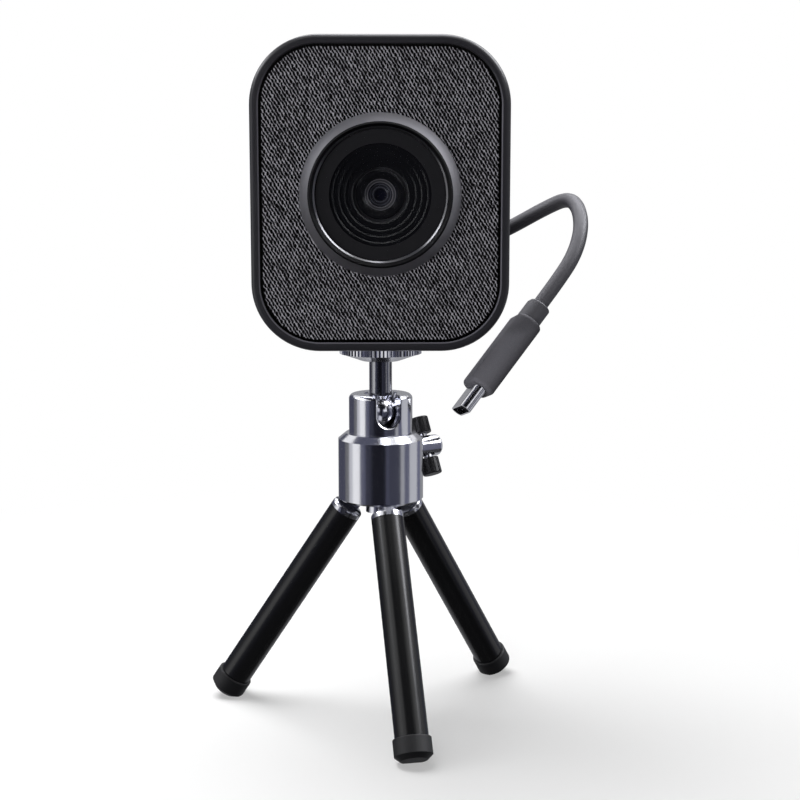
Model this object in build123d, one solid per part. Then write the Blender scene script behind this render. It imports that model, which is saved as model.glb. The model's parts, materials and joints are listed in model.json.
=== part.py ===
from build123d import *
import os
from math import cos, pi, radians, sin, tan

# A small webcam on a folding desk tripod with a ball head.
# Millimetres and degrees. +Z is up, the lens faces -Y, and the origin is on the desk under the tripod's axis.
# "Ahead" is a distance from the tripod's axis towards the lens, along -Y.

# Webcam housing
WEBCAM_WIDTH = 48.0
WEBCAM_HEIGHT = 58.0
WEBCAM_CORNER = 12.7
WEBCAM_BASE_Z = 74.5
RIM_WIDTH = 1.75
RIM_AHEAD = 16.2
RIM_OUTER_ROUND = 1.0
RIM_INNER_ROUND = 0.3
LEDGE_AHEAD = 13.0
LEDGE_WIDTH = 0.9
PARTING_AHEAD = -9.0
REAR_AHEAD = -17.0
REAR_ROUND = 6.0
REAR_WALL = 2.2
SEAM_CHAMFER = 0.25
LIP_LENGTH = 2.0
LIP_THICKNESS = 1.2
FIT_GAP = 0.1

# Front panel and fabric
PANEL_AHEAD = 15.1
FABRIC_AHEAD = 15.7
FABRIC_ROUND = 0.35
BEZEL_HOLE_RADIUS = 13.5
MICROPHONE_X = 14.0
MICROPHONE_RISE = 20.0
MICROPHONE_PORT_RADIUS = 0.6
MICROPHONE_SIZE = (4.0, 3.0, 1.1)

# Lens front, as radii and distances ahead
BEZEL_BASE_RADIUS = 14.95
BEZEL_BASE_EDGE = 0.5
BEZEL_LIP_RADIUS = 13.2
BEZEL_LIP_WIDTH = 0.3
BEZEL_AHEAD = 20.35
BEZEL_BORE_RADIUS = 12.4
BEZEL_LEDGE_RADIUS = 11.3
BEZEL_BACK_AHEAD = 11.8
TRIM_AHEAD = 19.55
TRIM_INNER_RADIUS = 12.0
TRIM_CHAMFER = 0.3
GLASS_AHEAD = 19.3
GLASS_THICKNESS = 0.8
HOOD_FLANGE_THICKNESS = 1.5
HOOD_MOUTH_RADIUS = 9.35
HOOD_STEP_RADII = (8.6, 7.48, 6.42, 5.12)
HOOD_STEP_DEPTH = 0.9
HOOD_CHAMFER = (0.28, 0.18)
HOOD_NOSE_RADIUS = 6.6

# Lens barrel and the focus mount round it
BARREL_RADIUS = 4.6
BARREL_AHEAD = 13.5
BARREL_BACK_AHEAD = 6.2
BARREL_EDGE = 0.3
BARREL_MOUTH_RADIUS = 3.75
BARREL_MOUTH_CHAMFER = (0.4, 0.3)
BARREL_MOUTH_DEPTH = 0.8
FRONT_ELEMENT_RADIUS = 2.25
FRONT_ELEMENT_AHEAD = 12.5
FRONT_ELEMENT_EDGE = 1.0
FRONT_ELEMENT_CROWN = 0.55
REAR_ELEMENT_RADIUS = 2.95
REAR_ELEMENT_AHEAD = 9.6
REAR_ELEMENT_EDGE = 1.4
REAR_ELEMENT_CROWN = 0.5
IRIS_AHEAD = 10.9
IRIS_RADII = (1.65, 0.95)
IRIS_STEP = 0.35
IRIS_CHAMFER = 0.12
FOCUS_MOUNT_SIZE = 13.0
FOCUS_MOUNT_AHEAD = 12.6
FOCUS_POCKET_SIZE = 9.6
FOCUS_POCKET_DEPTH = 1.8

# Boards
BOARD_THICKNESS = 1.2
SENSOR_BOARD_SIZE = (32.0, 36.0)
SENSOR_BOARD_AHEAD = 3.8
SENSOR_SIZE = (7.5, 6.0, 0.9)
SENSOR_POST_X = 13.0
SENSOR_POST_Z = 15.0
MAIN_BOARD_SIZE = (38.0, 40.0)
MAIN_BOARD_AHEAD = -4.4
MAIN_POST_X = 15.0
MAIN_POST_Z = 16.5
POST_RADIUS = 1.9
BOARD_SCREW_RADIUS = 0.8
BOARD_SCREW_LENGTH = 4.5
BOARD_SCREW_HEAD_RADIUS = 1.6
BOARD_SCREW_HEAD_HEIGHT = 1.0
RIBBON_WIDTH = 10.0
RIBBON_THICKNESS = 0.3
RIBBON_RISE = 11.0
RIBBON_PLUG_SIZE = (11.0, 3.0, 1.4)
CABLE_HEADER_SIZE = (9.0, 4.5, 3.0)

# Tripod insert in the foot of the housing, and the 1/4 inch stud in it
STUD_RADIUS = 3.175
RUNNING_GAP = 0.05
INSERT_RADIUS = 4.6
INSERT_HEIGHT = 6.5
BOSS_SIZE = (14.0, 14.0, 8.0)

# Cable, its gland and its plug
CABLE_DIAMETER = 3.2
GLAND_Z = 86.0
GLAND_HOLE_RADIUS = 3.3
GLAND_FLANGE_RADIUS = 4.4
GLAND_FLANGE_THICKNESS = 1.1
GLAND_ROOT_RADIUS = 3.7
GLAND_TIP_RADIUS = 2.2
GLAND_LENGTH = 7.5
GLAND_GROOVES = 3
GLAND_GROOVE_WIDTH = 0.7
GLAND_GROOVE_DEPTH = 0.5
CABLE_ROUTE = [
    (0.0, 24.5, 86.0),
    (0.0, 31.0, 86.0),
    (4.0, 37.5, 86.5),
    (11.5, 42.0, 88.0),
    (20.5, 44.0, 91.5),
    (29.0, 43.5, 95.5),
    (36.5, 41.0, 99.9),
    (41.0, 36.6, 102.2),
    (42.6, 30.5, 100.4),
    (42.6, 24.8, 96.0),
    (40.7, 20.8, 90.7),
    (37.1, 18.0, 85.6),
    (32.8, 15.6, 80.3),
]
COLLAR_SIZE = (6.6, 4.7)
COLLAR_LENGTH = 4.5
GRIP_SIZE = (10.4, 5.7)
GRIP_LENGTH = 17.8
GRIP_ROUND = 0.8
PLUG_ROLL = -1.0
PLUG_SHELL_SIZE = (8.34, 2.56)
PLUG_SHELL_WALL = 0.3
PLUG_SHELL_LENGTH = 5.5
PLUG_SHELL_SEAT = 0.5
PLUG_SLOT_SIZE = (6.7, 0.8)
PLUG_LINER_LENGTH = 4.6

# Ball head
WHEEL_RADIUS = 8.1
WHEEL_Z = 71.0
WHEEL_GAP = 0.1
WHEEL_FOOT_RADIUS = 3.9
KNURL_Z = 72.4
KNURL_DEPTH = 0.2
KNURL_TEETH = 66
KNURL_LAND = 0.4
BALL_RADIUS = 3.0
BALL_Z = 60.6
BALL_NECK_RADIUS = 1.65
BALL_NECK_Z = 63.0
BALL_NECK_FLARE = 0.4
STEM_RADIUS = 2.25
STEM_FOOT_Z = 64.1
THREAD_Z = 71.2
STUD_TOP_Z = 79.8
STUD_CHAMFER = 0.5
BODY_RADIUS = 8.45
BODY_BOTTOM_Z = 43.1
BODY_EDGE = 0.4
SHOULDER_Z = 55.4
SHOULDER_TOP_RADIUS = 7.0
NECK_Z = 56.6
NECK_RADIUS = 6.3
HEAD_TOP_Z = 64.4
HEAD_TOP_ROUND = 1.0
SEAT_GAP = 0.07
MOUTH_RADIUS = 3.3
MOUTH_THROAT_RADIUS = 2.75
MOUTH_DEPTH = 2.4
SLOT_WIDTH = 4.75
SLOT_BOTTOM_Z = 58.2
SLOT_AZIMUTH = 16.0
SLOT_CHAMFER = 0.2
SOCKET_FLOOR_Z = 49.5
SPIGOT_RADIUS = 5.0
CUP_RADIUS = 3.0
CUP_TOP_Z = 58.1
CUP_NIB_RADIUS = 1.2
CUP_NIB_TIP_RADIUS = 0.4
CUP_NIB_HEIGHT = 1.0

# Lock screw with its cross bar, measured out from the tripod's axis
LOCK_AZIMUTH = 125.0
LOCK_Z = 52.6
LOCK_SHANK_RADIUS = 1.5
LOCK_TIP_RADIUS = 0.5
LOCK_TIP_OUT = 0.7
LOCK_CONE_OUT = 2.3
LOCK_TO_CUP = 1.75
LOCK_HUB_RADIUS = 2.15
LOCK_HUB_OUT = 9.0
LOCK_END_OUT = 14.2
LOCK_END_ROUND = 0.7
BAR_OUT = 11.1
BAR_RADIUS = 0.9
BAR_HALF_LENGTH = 4.8
BAR_LEAN = 25.0
BAR_TIP_RADIUS = 1.95
BAR_TIP_START = 2.6
BAR_TIP_END = 6.0
BAR_TIP_ROUND = 0.25
BAR_RIB_COUNT = 14
BAR_RIB_DEPTH = 0.12

# Legs
LEG_AZIMUTHS = {"front": 10.4, "right": 131.5, "left": 256.5}
PIVOT_RADIUS = 7.0
PIVOT_Z = 40.9
LEG_SPREAD = 33.5
LEG_RADIUS = 3.2
LEG_WALL = 0.45
CAP_ABOVE_PIVOT = 0.7
CAP_BELOW_PIVOT = 0.65
CAP_SPIGOT_LENGTH = 4.5
CAP_EDGE_ROUND = 0.65
CAP_SLOT_WIDTH = 1.4
CAP_SLOT_BELOW = 2.2
LUG_THICKNESS = 1.1
LUG_RADIUS = 1.9
LUG_INNER_RADIUS = 3.0
LUG_OUTER_RADIUS = 8.3
HUB_HEIGHT = 5.0
PIN_RADIUS = 0.5
PIN_LENGTH = 5.6
FOOT_RADIUS = 3.65
FOOT_END_RADIUS = 2.6
FOOT_SLEEVE_LENGTH = 3.2
FOOT_CONE_LENGTH = 0.9
FOOT_FLOOR = 2.0
FOOT_TOP_ROUND = 0.2
FOOT_FACET_DEPTH = 0.35

# Places that follow from the driving dimensions
FLAT = 0.01
WEBCAM_Z = WEBCAM_BASE_Z + WEBCAM_HEIGHT / 2
LENS_AXIS = Axis((0, 0, WEBCAM_Z), (0, -1, 0))
LENS_PLANE = Plane(origin=(0, 0, WEBCAM_Z), x_dir=(1, 0, 0), z_dir=(0, 0, -1))
HOOD_AHEAD = GLASS_AHEAD - GLASS_THICKNESS
HOOD_NOSE_AHEAD = HOOD_AHEAD - HOOD_STEP_DEPTH * (len(HOOD_STEP_RADII) + 1)
REAR_INSIDE_AHEAD = REAR_AHEAD + REAR_WALL
WHEEL_TOP_Z = WEBCAM_BASE_Z - WHEEL_GAP
KNURL_ROOT = WHEEL_RADIUS - KNURL_DEPTH
BORE_RADIUS = STUD_RADIUS + RUNNING_GAP
SEAT_RADIUS = BALL_RADIUS + SEAT_GAP
CUP_BOTTOM_Z = LOCK_Z + LOCK_TO_CUP
FOOT_END_HEIGHT = PIVOT_Z + FOOT_FACET_DEPTH - FOOT_END_RADIUS * sin(radians(LEG_SPREAD))
FOOT_END = FOOT_END_HEIGHT / cos(radians(LEG_SPREAD))


# Helpers

def facing(ahead):
    """A plane across the webcam, seen from the front, with the lens axis at its origin."""
    return Plane(origin=(0, -ahead, WEBCAM_Z), x_dir=(1, 0, 0), z_dir=(0, -1, 0))


def outline(inset):
    """The webcam's rounded outline, drawn in all round by the inset."""
    return RectangleRounded(WEBCAM_WIDTH - 2 * inset, WEBCAM_HEIGHT - 2 * inset, WEBCAM_CORNER - inset)


def slab(inset, back, front):
    """The webcam's outline from one distance ahead to another."""
    return extrude(facing(back) * outline(inset), amount=front - back)


def round_slab(radius, back, front, x=0.0, rise=0.0):
    """A round pin or hole along the lens direction."""
    return extrude(facing(back) * Pos(x, rise) * Circle(radius), amount=front - back)


def block(size, back, x=0.0, rise=0.0):
    """A flat block of width, height and thickness that stands on a plane across the webcam."""
    return extrude(facing(back) * Pos(x, rise) * Rectangle(size[0], size[1]), amount=size[2])


def lens_turned(points):
    """A solid turned about the lens axis from points of radius and distance ahead."""
    return revolve(LENS_PLANE * make_face(Polyline(*points, close=True)), LENS_AXIS)


def post_turned(points):
    """A solid turned about the tripod's axis from points of radius and height."""
    return revolve(Plane.XZ * make_face(Polyline(*points, close=True)), Axis.Z)


def corners(x, rise):
    """Four places set out about the lens axis."""
    return [(sx * x, sz * rise) for sx in (-1, 1) for sz in (-1, 1)]


def bearing(azimuth):
    """A turn about the tripod's axis that points local +X along an azimuth measured from the front."""
    return Rot(0, 0, azimuth - 90)


def upright(radius, low, high):
    """A round solid on the tripod's axis between two heights."""
    return Pos(0, 0, low) * Cylinder(radius, high - low, align=(Align.CENTER, Align.CENTER, Align.MIN))


def outward(radius, start, end):
    """A round solid along local +X."""
    turned = Rot(0, 90, 0) * Cylinder(radius, end - start, align=(Align.CENTER, Align.CENTER, Align.MIN))
    return Pos(start, 0, 0) * turned


# Webcam pieces

def make_housing_shell():
    shell = slab(0, PARTING_AHEAD, RIM_AHEAD)
    front_edges = shell.faces().sort_by(Axis.Y)[0].edges()
    shell = fillet(front_edges, RIM_OUTER_ROUND)
    rear_edges = shell.faces().sort_by(Axis.Y)[-1].edges()
    shell = chamfer(rear_edges, SEAM_CHAMFER)
    shell -= slab(RIM_WIDTH, LEDGE_AHEAD, RIM_AHEAD + 1)
    shell = fillet(shell.faces().sort_by(Axis.Y)[0].inner_wires()[0].edges(), RIM_INNER_ROUND)
    shell -= slab(RIM_WIDTH + LEDGE_WIDTH, PARTING_AHEAD - 1, LEDGE_AHEAD + 1)
    boss_place = Pos(0, 0, WEBCAM_BASE_Z + BOSS_SIZE[2] / 2 + 1)
    shell += boss_place * Box(BOSS_SIZE[0], BOSS_SIZE[1], BOSS_SIZE[2] - 2)
    shell -= upright(INSERT_RADIUS, WEBCAM_BASE_Z - 1, WEBCAM_BASE_Z + INSERT_HEIGHT)
    return shell


def make_rear_cover():
    cover = slab(0, REAR_AHEAD, PARTING_AHEAD)
    cover = fillet(cover.faces().sort_by(Axis.Y)[-1].edges(), REAR_ROUND)
    cover = chamfer(cover.faces().sort_by(Axis.Y)[0].edges(), SEAM_CHAMFER)
    wall = RIM_WIDTH + LEDGE_WIDTH
    hollow = slab(wall, REAR_INSIDE_AHEAD, PARTING_AHEAD + 1)
    hollow = fillet(hollow.faces().sort_by(Axis.Y)[-1].edges(), REAR_ROUND - REAR_WALL)
    cover -= hollow
    lip_inset = wall + FIT_GAP
    lip = slab(lip_inset, PARTING_AHEAD - LIP_LENGTH, PARTING_AHEAD + LIP_LENGTH)
    lip += slab(RIM_WIDTH, PARTING_AHEAD - LIP_LENGTH, PARTING_AHEAD - SEAM_CHAMFER)
    cover += lip - slab(lip_inset + LIP_THICKNESS, PARTING_AHEAD - LIP_LENGTH, PARTING_AHEAD + LIP_LENGTH)
    board_back = MAIN_BOARD_AHEAD - BOARD_THICKNESS
    for x, rise in corners(MAIN_POST_X, MAIN_POST_Z):
        cover += round_slab(POST_RADIUS, REAR_INSIDE_AHEAD - 0.5, board_back, x, rise)
        cover -= round_slab(BOARD_SCREW_RADIUS, board_back - BOARD_SCREW_LENGTH, board_back, x, rise)
    cover -= round_slab(GLAND_HOLE_RADIUS, REAR_AHEAD - 1, REAR_INSIDE_AHEAD + 1, 0, GLAND_Z - WEBCAM_Z)
    return cover


def make_front_panel():
    inset = RIM_WIDTH + FIT_GAP
    panel = slab(inset, LEDGE_AHEAD, PANEL_AHEAD)
    panel -= round_slab(BEZEL_HOLE_RADIUS, LEDGE_AHEAD - 1, PANEL_AHEAD + 1)
    for x in (-MICROPHONE_X, MICROPHONE_X):
        panel -= round_slab(MICROPHONE_PORT_RADIUS, LEDGE_AHEAD - 1, PANEL_AHEAD + 1, x, MICROPHONE_RISE)
    for x, rise in corners(SENSOR_POST_X, SENSOR_POST_Z):
        panel += round_slab(POST_RADIUS, SENSOR_BOARD_AHEAD, LEDGE_AHEAD, x, rise)
        pilot_end = SENSOR_BOARD_AHEAD + BOARD_SCREW_LENGTH
        panel -= round_slab(BOARD_SCREW_RADIUS, SENSOR_BOARD_AHEAD, pilot_end, x, rise)
    return panel


def make_front_fabric():
    fabric = slab(RIM_WIDTH + FIT_GAP, PANEL_AHEAD, FABRIC_AHEAD)
    fabric = fillet(fabric.faces().sort_by(Axis.Y)[0].edges(), FABRIC_ROUND)
    return fabric - round_slab(BEZEL_HOLE_RADIUS, PANEL_AHEAD - 1, FABRIC_AHEAD + 1)


def make_lens_bezel():
    ledge_front = HOOD_AHEAD - HOOD_FLANGE_THICKNESS
    spigot_radius = BEZEL_HOLE_RADIUS - FIT_GAP
    return lens_turned([
        (BEZEL_LEDGE_RADIUS, ledge_front - BEZEL_BASE_EDGE * 2),
        (BEZEL_LEDGE_RADIUS, ledge_front),
        (BEZEL_BORE_RADIUS, ledge_front),
        (BEZEL_BORE_RADIUS, TRIM_AHEAD),
        (BEZEL_LIP_RADIUS - BEZEL_LIP_WIDTH, BEZEL_AHEAD),
        (BEZEL_LIP_RADIUS, BEZEL_AHEAD - BEZEL_LIP_WIDTH / 2),
        (BEZEL_BASE_RADIUS, FABRIC_AHEAD + BEZEL_BASE_EDGE),
        (BEZEL_BASE_RADIUS, FABRIC_AHEAD),
        (spigot_radius, FABRIC_AHEAD),
        (spigot_radius, BEZEL_BACK_AHEAD),
        (BEZEL_BORE_RADIUS, BEZEL_BACK_AHEAD),
        (BEZEL_BORE_RADIUS, ledge_front - BEZEL_BASE_EDGE * 2),
    ])


def make_trim_ring():
    back = HOOD_AHEAD - HOOD_FLANGE_THICKNESS
    return lens_turned([
        (TRIM_INNER_RADIUS, back),
        (TRIM_INNER_RADIUS, TRIM_AHEAD - TRIM_CHAMFER),
        (TRIM_INNER_RADIUS + TRIM_CHAMFER, TRIM_AHEAD),
        (BEZEL_BORE_RADIUS, TRIM_AHEAD),
        (BEZEL_BORE_RADIUS, back),
    ])


def make_cover_glass():
    return round_slab(TRIM_INNER_RADIUS - RUNNING_GAP, HOOD_AHEAD, GLASS_AHEAD)


def make_lens_hood():
    rim_radius = TRIM_INNER_RADIUS - RUNNING_GAP
    points = [(rim_radius, HOOD_AHEAD), (HOOD_MOUTH_RADIUS, HOOD_AHEAD)]
    ahead = HOOD_AHEAD - HOOD_STEP_DEPTH
    points.append((HOOD_MOUTH_RADIUS, ahead))
    for radius in HOOD_STEP_RADII:
        points.append((radius + HOOD_CHAMFER[0], ahead))
        points.append((radius, ahead - HOOD_CHAMFER[1]))
        ahead -= HOOD_STEP_DEPTH
        points.append((radius, ahead))
    points.append((HOOD_NOSE_RADIUS, HOOD_NOSE_AHEAD))
    points.append((BEZEL_LEDGE_RADIUS - FIT_GAP, HOOD_AHEAD - HOOD_FLANGE_THICKNESS))
    points.append((rim_radius, HOOD_AHEAD - HOOD_FLANGE_THICKNESS))
    return lens_turned(points)


def make_lens_barrel():
    """A barrel that holds both glasses, with a stepped iris between them."""
    front_bore = FRONT_ELEMENT_RADIUS + RUNNING_GAP
    rear_bore = REAR_ELEMENT_RADIUS + RUNNING_GAP
    points = [
        (BARREL_RADIUS, BARREL_BACK_AHEAD),
        (BARREL_RADIUS, BARREL_AHEAD - BARREL_EDGE),
        (BARREL_RADIUS - BARREL_EDGE, BARREL_AHEAD),
        (BARREL_MOUTH_RADIUS, BARREL_AHEAD),
        (BARREL_MOUTH_RADIUS - BARREL_MOUTH_CHAMFER[0], BARREL_AHEAD - BARREL_MOUTH_CHAMFER[1]),
        (front_bore, BARREL_AHEAD - BARREL_MOUTH_DEPTH),
        (front_bore, IRIS_AHEAD),
    ]
    ahead = IRIS_AHEAD
    for radius in IRIS_RADII:
        points.append((radius + IRIS_CHAMFER, ahead))
        points.append((radius, ahead - IRIS_CHAMFER))
        ahead -= IRIS_STEP
        points.append((radius, ahead))
    points.append((rear_bore, ahead))
    points.append((rear_bore, BARREL_BACK_AHEAD))
    return lens_turned(points)


def make_lens_element(radius, front, edge, crown):
    """A glass element with a round rim and a crowned front."""
    top = (0, front)
    rim_front = (radius, front - crown)
    bulge = (radius / 2, front - crown / 4)
    arc = ThreePointArc(top, bulge, rim_front)
    sides = Polyline(rim_front, (radius, front - crown - edge), (0, front - crown - edge), top)
    return revolve(LENS_PLANE * make_face(arc + sides), LENS_AXIS)


def make_focus_mount():
    size = (FOCUS_MOUNT_SIZE, FOCUS_MOUNT_SIZE, FOCUS_MOUNT_AHEAD - SENSOR_BOARD_AHEAD)
    mount = block(size, SENSOR_BOARD_AHEAD)
    mount = fillet(mount.edges().filter_by(Axis.Y), 1.0)
    mount -= round_slab(BARREL_RADIUS + RUNNING_GAP, SENSOR_BOARD_AHEAD - 1, FOCUS_MOUNT_AHEAD + 1)
    return mount - block((FOCUS_POCKET_SIZE, FOCUS_POCKET_SIZE, FOCUS_POCKET_DEPTH), SENSOR_BOARD_AHEAD)


def make_board(size, front, post_x, post_z):
    """A circuit board with a clearance hole at each post."""
    back = front - BOARD_THICKNESS
    board = block((size[0], size[1], BOARD_THICKNESS), back)
    board = fillet(board.edges().filter_by(Axis.Y), 2.0)
    for x, rise in corners(post_x, post_z):
        board -= round_slab(BOARD_SCREW_RADIUS + FIT_GAP, back - 1, front + 1, x, rise)
    return board


def make_board_screws(seat, towards, post_x, post_z):
    """Four pan-head screws with their heads on a board's face, driven ahead (+1) or back (-1)."""
    screws = Part()
    reach = BOARD_THICKNESS + BOARD_SCREW_LENGTH - 0.5
    for x, rise in corners(post_x, post_z):
        head_end = seat - towards * BOARD_SCREW_HEAD_HEIGHT
        head = round_slab(BOARD_SCREW_HEAD_RADIUS, min(seat, head_end), max(seat, head_end), x, rise)
        tip = seat + towards * reach
        shank = round_slab(BOARD_SCREW_RADIUS - RUNNING_GAP, min(seat, tip), max(seat, tip), x, rise)
        screws += head + shank
    return screws


def make_board_chips():
    """Processor, memory and two supply parts on the front of the main board."""
    chips = Part()
    for width, height, thickness, x, rise in (
        (10.0, 10.0, 1.3, -4.0, -2.0),
        (7.0, 9.0, 1.0, 8.0, -2.0),
        (4.0, 4.0, 2.0, 11.0, -13.0),
        (4.0, 4.0, 2.0, 5.0, -13.0),
    ):
        chips += block((width, height, thickness), MAIN_BOARD_AHEAD, x, rise)
    return chips


def make_ribbon_plugs():
    width, height, thickness = RIBBON_PLUG_SIZE
    sensor_back = SENSOR_BOARD_AHEAD - BOARD_THICKNESS
    front_plug = block((width, height, thickness), sensor_back - thickness, 0, RIBBON_RISE)
    rear_plug = block((width, height, thickness), MAIN_BOARD_AHEAD, 0, RIBBON_RISE)
    return front_plug + rear_plug


def make_ribbon():
    front = SENSOR_BOARD_AHEAD - BOARD_THICKNESS - RIBBON_PLUG_SIZE[2]
    back = MAIN_BOARD_AHEAD + RIBBON_PLUG_SIZE[2]
    return block((RIBBON_WIDTH, RIBBON_THICKNESS, front - back), back, 0, RIBBON_RISE)


def make_microphones():
    pair = Part()
    for x in (-MICROPHONE_X, MICROPHONE_X):
        pair += block(MICROPHONE_SIZE, LEDGE_AHEAD - MICROPHONE_SIZE[2], x, MICROPHONE_RISE)
    return pair


def make_tripod_insert():
    insert = upright(INSERT_RADIUS, WEBCAM_BASE_Z, WEBCAM_BASE_Z + INSERT_HEIGHT)
    return insert - upright(BORE_RADIUS, WEBCAM_BASE_Z - 1, WEBCAM_BASE_Z + INSERT_HEIGHT + 1)


# Cable pieces

def make_cable_header():
    width, height, thickness = CABLE_HEADER_SIZE
    back = MAIN_BOARD_AHEAD - BOARD_THICKNESS - thickness
    return block((width, height, thickness), back, 0, GLAND_Z - WEBCAM_Z)


def make_inner_lead():
    front = MAIN_BOARD_AHEAD - BOARD_THICKNESS - CABLE_HEADER_SIZE[2]
    back = REAR_INSIDE_AHEAD + GLAND_FLANGE_THICKNESS
    return round_slab(CABLE_DIAMETER / 2, back, front, 0, GLAND_Z - WEBCAM_Z)


def make_cable_gland():
    """A flanged strain relief whose boot tapers to the cable, with grooves that let it bend."""
    axis = Axis((0, 0, GLAND_Z), (0, 1, 0))
    plane = Plane(origin=(0, 0, GLAND_Z), x_dir=(1, 0, 0), z_dir=(0, 0, 1))
    inside = -REAR_INSIDE_AHEAD
    wall = -REAR_AHEAD
    end = wall + GLAND_LENGTH
    boot = make_face(Polyline(
        (0, inside - GLAND_FLANGE_THICKNESS),
        (GLAND_FLANGE_RADIUS, inside - GLAND_FLANGE_THICKNESS),
        (GLAND_FLANGE_RADIUS, inside),
        (GLAND_HOLE_RADIUS - FIT_GAP, inside),
        (GLAND_HOLE_RADIUS - FIT_GAP, wall),
        (GLAND_ROOT_RADIUS, wall),
        (GLAND_TIP_RADIUS, end),
        (0, end),
        close=True,
    ))
    pitch = GLAND_LENGTH / (GLAND_GROOVES + 1)
    taper = (GLAND_ROOT_RADIUS - GLAND_TIP_RADIUS) / GLAND_LENGTH
    for count in range(1, GLAND_GROOVES + 1):
        along = count * pitch
        depth_radius = GLAND_ROOT_RADIUS - taper * along - GLAND_GROOVE_DEPTH
        boot -= Pos(depth_radius + 2, wall + along) * Rectangle(4, GLAND_GROOVE_WIDTH)
    return revolve(plane * boot, axis)


def cable_radii():
    """For each corner of the route, the largest arc that its two runs allow."""
    points = [Vector(point) for point in CABLE_ROUTE]
    radii = []
    for before, corner, after in zip(points, points[1:], points[2:]):
        turn = radians((corner - before).get_angle(after - corner))
        shorter = min((corner - before).length, (after - corner).length)
        radii.append(0.45 * shorter / tan(turn / 2))
    return radii


def make_cable():
    radii = cable_radii()
    path = FilletPolyline(*CABLE_ROUTE, radius=radii)
    start = Plane(origin=path @ 0, z_dir=path % 0)
    tube = sweep(start * Circle(CABLE_DIAMETER / 2), path=path)
    section = pi * CABLE_DIAMETER ** 2 / 4
    print("cable length", round(path.length, 1), "radii", [round(radius, 1) for radius in radii])
    print("cable volume", round(tube.volume, 1), "section times length", round(section * path.length, 1))
    return tube


def plug_plane(along):
    """A plane across the plug, at a distance from the end of the cable, with its wide side along local X."""
    end = Vector(CABLE_ROUTE[-1])
    heading = (end - Vector(CABLE_ROUTE[-2])).normalized()
    towards_front = Vector(0, -1, 0)
    wide = (towards_front - heading * towards_front.dot(heading)).normalized()
    rolled = wide * cos(radians(PLUG_ROLL)) + heading.cross(wide) * sin(radians(PLUG_ROLL))
    return Plane(origin=end + heading * along, x_dir=rolled, z_dir=heading)


def capsule(size, shrink=0.0):
    """A flat section with fully round ends, drawn in all round by the shrink."""
    width = size[0] - 2 * shrink
    height = size[1] - 2 * shrink
    return SlotOverall(width, height)


def make_plug_collar():
    collar = extrude(plug_plane(0) * capsule(COLLAR_SIZE), amount=COLLAR_LENGTH)
    return fillet(collar.faces().sort_by(Axis.Z)[-1].edges(), GRIP_ROUND / 2)


def make_plug_grip():
    plane = plug_plane(COLLAR_LENGTH)
    grip = extrude(plane * capsule(GRIP_SIZE), amount=GRIP_LENGTH)
    ends = grip.edges().filter_by(lambda edge: edge.length > GRIP_SIZE[1] / 2 and edge.length < GRIP_SIZE[0])
    grip = fillet(ends, GRIP_ROUND)
    seat = plug_plane(COLLAR_LENGTH + GRIP_LENGTH - PLUG_SHELL_SEAT)
    return grip - extrude(seat * capsule(PLUG_SHELL_SIZE), amount=PLUG_SHELL_SEAT + 1)


def make_plug_shell():
    start = COLLAR_LENGTH + GRIP_LENGTH - PLUG_SHELL_SEAT
    length = PLUG_SHELL_LENGTH + PLUG_SHELL_SEAT
    shell = extrude(plug_plane(start) * capsule(PLUG_SHELL_SIZE), amount=length)
    return shell - extrude(plug_plane(start) * capsule(PLUG_SHELL_SIZE, PLUG_SHELL_WALL), amount=length + 1)


def make_plug_insulator():
    start = COLLAR_LENGTH + GRIP_LENGTH - PLUG_SHELL_SEAT
    inner = PLUG_SHELL_WALL + RUNNING_GAP / 2
    liner = extrude(plug_plane(start) * capsule(PLUG_SHELL_SIZE, inner), amount=PLUG_LINER_LENGTH)
    slot = plug_plane(start + 1) * Rectangle(*PLUG_SLOT_SIZE)
    return liner - extrude(slot, amount=PLUG_LINER_LENGTH)


# Ball head pieces

def make_lock_wheel():
    """A thumb wheel with straight knurls over a shallow cone."""
    pitch = 2 * pi / KNURL_TEETH
    tooth = ((0, WHEEL_RADIUS), (KNURL_LAND, WHEEL_RADIUS), ((1 + KNURL_LAND) / 2, KNURL_ROOT))
    points = []
    for count in range(KNURL_TEETH):
        for share, radius in tooth:
            angle = pitch * (count + share)
            points.append((radius * cos(angle), radius * sin(angle)))
    toothed = make_face(Polyline(*points, close=True))
    wheel = extrude(Plane.XY.offset(KNURL_Z) * toothed, amount=WHEEL_TOP_Z - KNURL_Z)
    wheel += post_turned([
        (0, WHEEL_Z),
        (WHEEL_FOOT_RADIUS, WHEEL_Z),
        (KNURL_ROOT, KNURL_Z),
        (0, KNURL_Z),
    ])
    return wheel - upright(BORE_RADIUS, WHEEL_Z - 1, WHEEL_TOP_Z + 1)


def make_ball_stud():
    stud = Pos(0, 0, BALL_Z) * Sphere(BALL_RADIUS)
    stud += post_turned([
        (0, BALL_Z),
        (BALL_NECK_RADIUS, BALL_Z),
        (BALL_NECK_RADIUS, BALL_NECK_Z),
        (STEM_RADIUS, STEM_FOOT_Z),
        (STEM_RADIUS, THREAD_Z),
        (0, THREAD_Z),
    ])
    level_edges = stud.edges().filter_by(lambda edge: edge.bounding_box().size.Z < FLAT)
    stud = fillet(level_edges.sort_by(Axis.Z)[0], BALL_NECK_FLARE)
    thread = upright(STUD_RADIUS, THREAD_Z, STUD_TOP_Z)
    thread = chamfer(thread.edges().filter_by(GeomType.CIRCLE), STUD_CHAMFER)
    return stud + thread


def on_slot_edge(edge):
    """Whether an edge of the head body is where the slot breaks out through the neck."""
    middle = edge.center()
    out = (middle.X ** 2 + middle.Y ** 2) ** 0.5
    return out > NECK_RADIUS * 0.8 and SLOT_BOTTOM_Z - FLAT < middle.Z < HEAD_TOP_Z - HEAD_TOP_ROUND


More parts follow.
